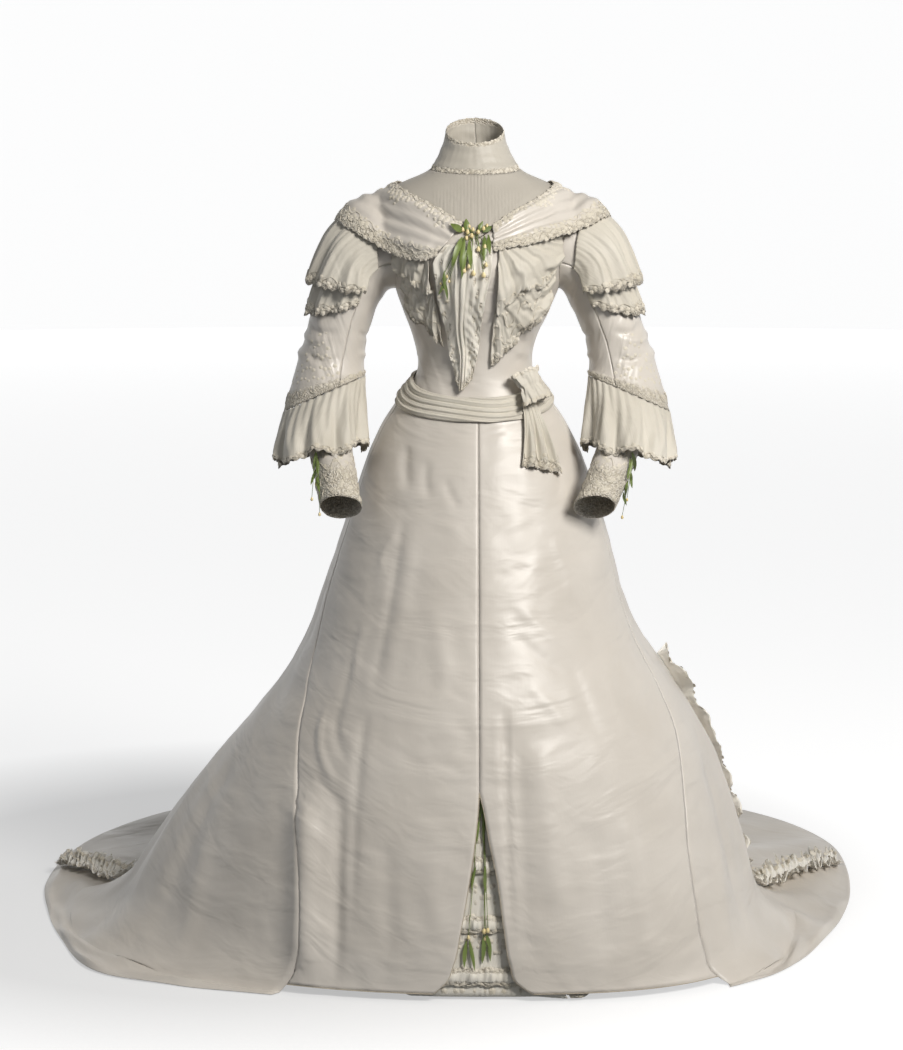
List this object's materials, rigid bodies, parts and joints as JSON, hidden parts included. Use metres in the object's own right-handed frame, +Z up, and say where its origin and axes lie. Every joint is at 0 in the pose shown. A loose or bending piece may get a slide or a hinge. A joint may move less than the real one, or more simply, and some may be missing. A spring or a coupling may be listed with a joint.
{
  "type": "wedding dress",
  "caption": "Floor-length satin wedding dress with standing collar, lace bertha, elbow frills, pleated sash, front slit and train, hollow as worn.",
  "frame": {"origin": "centre of the waist inside the dress, 0.99 m above the floor that the hem and train lie on", "axes": "+X to the viewer's right (the wearer's left), +Y away from the viewer towards the train, +Z up"},
  "size_m": [1.5476, 1.5701, 1.452],
  "materials": {
    "satin": "soft ivory satin",
    "chiffon": "matt ivory chiffon",
    "lace": "cream lace over satin or net",
    "net": "fine pintucked net",
    "leaves": "waxed green leaves"
  },
  "bodies": {
    "root": {"skirt_front_left": "satin", "skirt_front_right": "satin", "skirt_side_left": "satin", "skirt_side_right": "satin", "skirt_back_left": "satin", "skirt_back_right": "satin", "bodice_front": "satin", "bodice_back_left": "satin", "bodice_back_right": "satin", "sleeve_top_left": "satin", "sleeve_top_right": "satin", "sleeve_under_left": "satin", "sleeve_under_right": "satin", "cap_flounce_left": "chiffon", "cap_flounce_right": "chiffon", "cap_frill_left": "chiffon", "cap_frill_right": "chiffon", "chest_flounce_left": "chiffon", "chest_flounce_right": "chiffon", "jabot": "chiffon", "elbow_frill_left": "chiffon", "elbow_frill_right": "chiffon", "sash": "chiffon", "sash_knot": "chiffon", "sash_tail": "chiffon", "slit_tier_1": "chiffon", "slit_tier_2": "chiffon", "slit_tier_3": "chiffon", "underskirt_front": "chiffon", "train_ruffle_left": "chiffon", "train_ruffle_right": "chiffon", "bertha_left": "lace", "bertha_right": "lace", "collar": "lace", "cuff_left": "lace", "cuff_right": "lace", "underskirt_hem": "lace", "yoke_front": "net", "yoke_back": "net", "spray_bodice": "leaves", "spray_sleeve_left": "leaves", "spray_sleeve_right": "leaves", "spray_slit": "leaves"}
  },
  "joints": []
}
